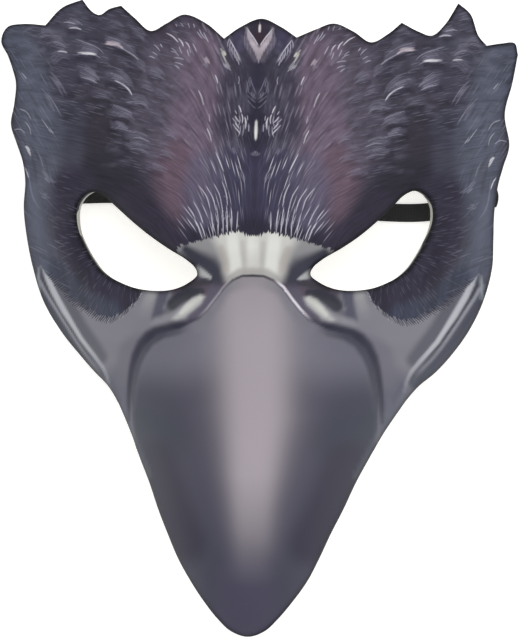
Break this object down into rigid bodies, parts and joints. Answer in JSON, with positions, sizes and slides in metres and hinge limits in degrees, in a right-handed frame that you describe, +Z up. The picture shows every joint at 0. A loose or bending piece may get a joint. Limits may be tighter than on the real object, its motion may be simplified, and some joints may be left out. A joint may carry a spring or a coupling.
{
  "type": "crow masquerade mask",
  "caption": "Moulded crow face mask with a hooked-down beak, two slanted eye holes, a feather-cut top edge and a flat elastic strap.",
  "frame": {"origin": "on the table under the middle of the mask's sheet, as it lies on its back", "axes": "+Z up from the table towards the beak's ridge, +Y towards the top of the head, -Y towards the beak's tip, +X to the right as the face is looked at"},
  "size_m": [0.2006, 0.2348, 0.1052],
  "materials": {
    "printed_foam": "matt printed fabric over moulded foam",
    "elastic": "matt woven elastic"
  },
  "bodies": {
    "root": {"mask_shell": "printed_foam", "elastic_strap": "elastic"}
  },
  "joints": []
}
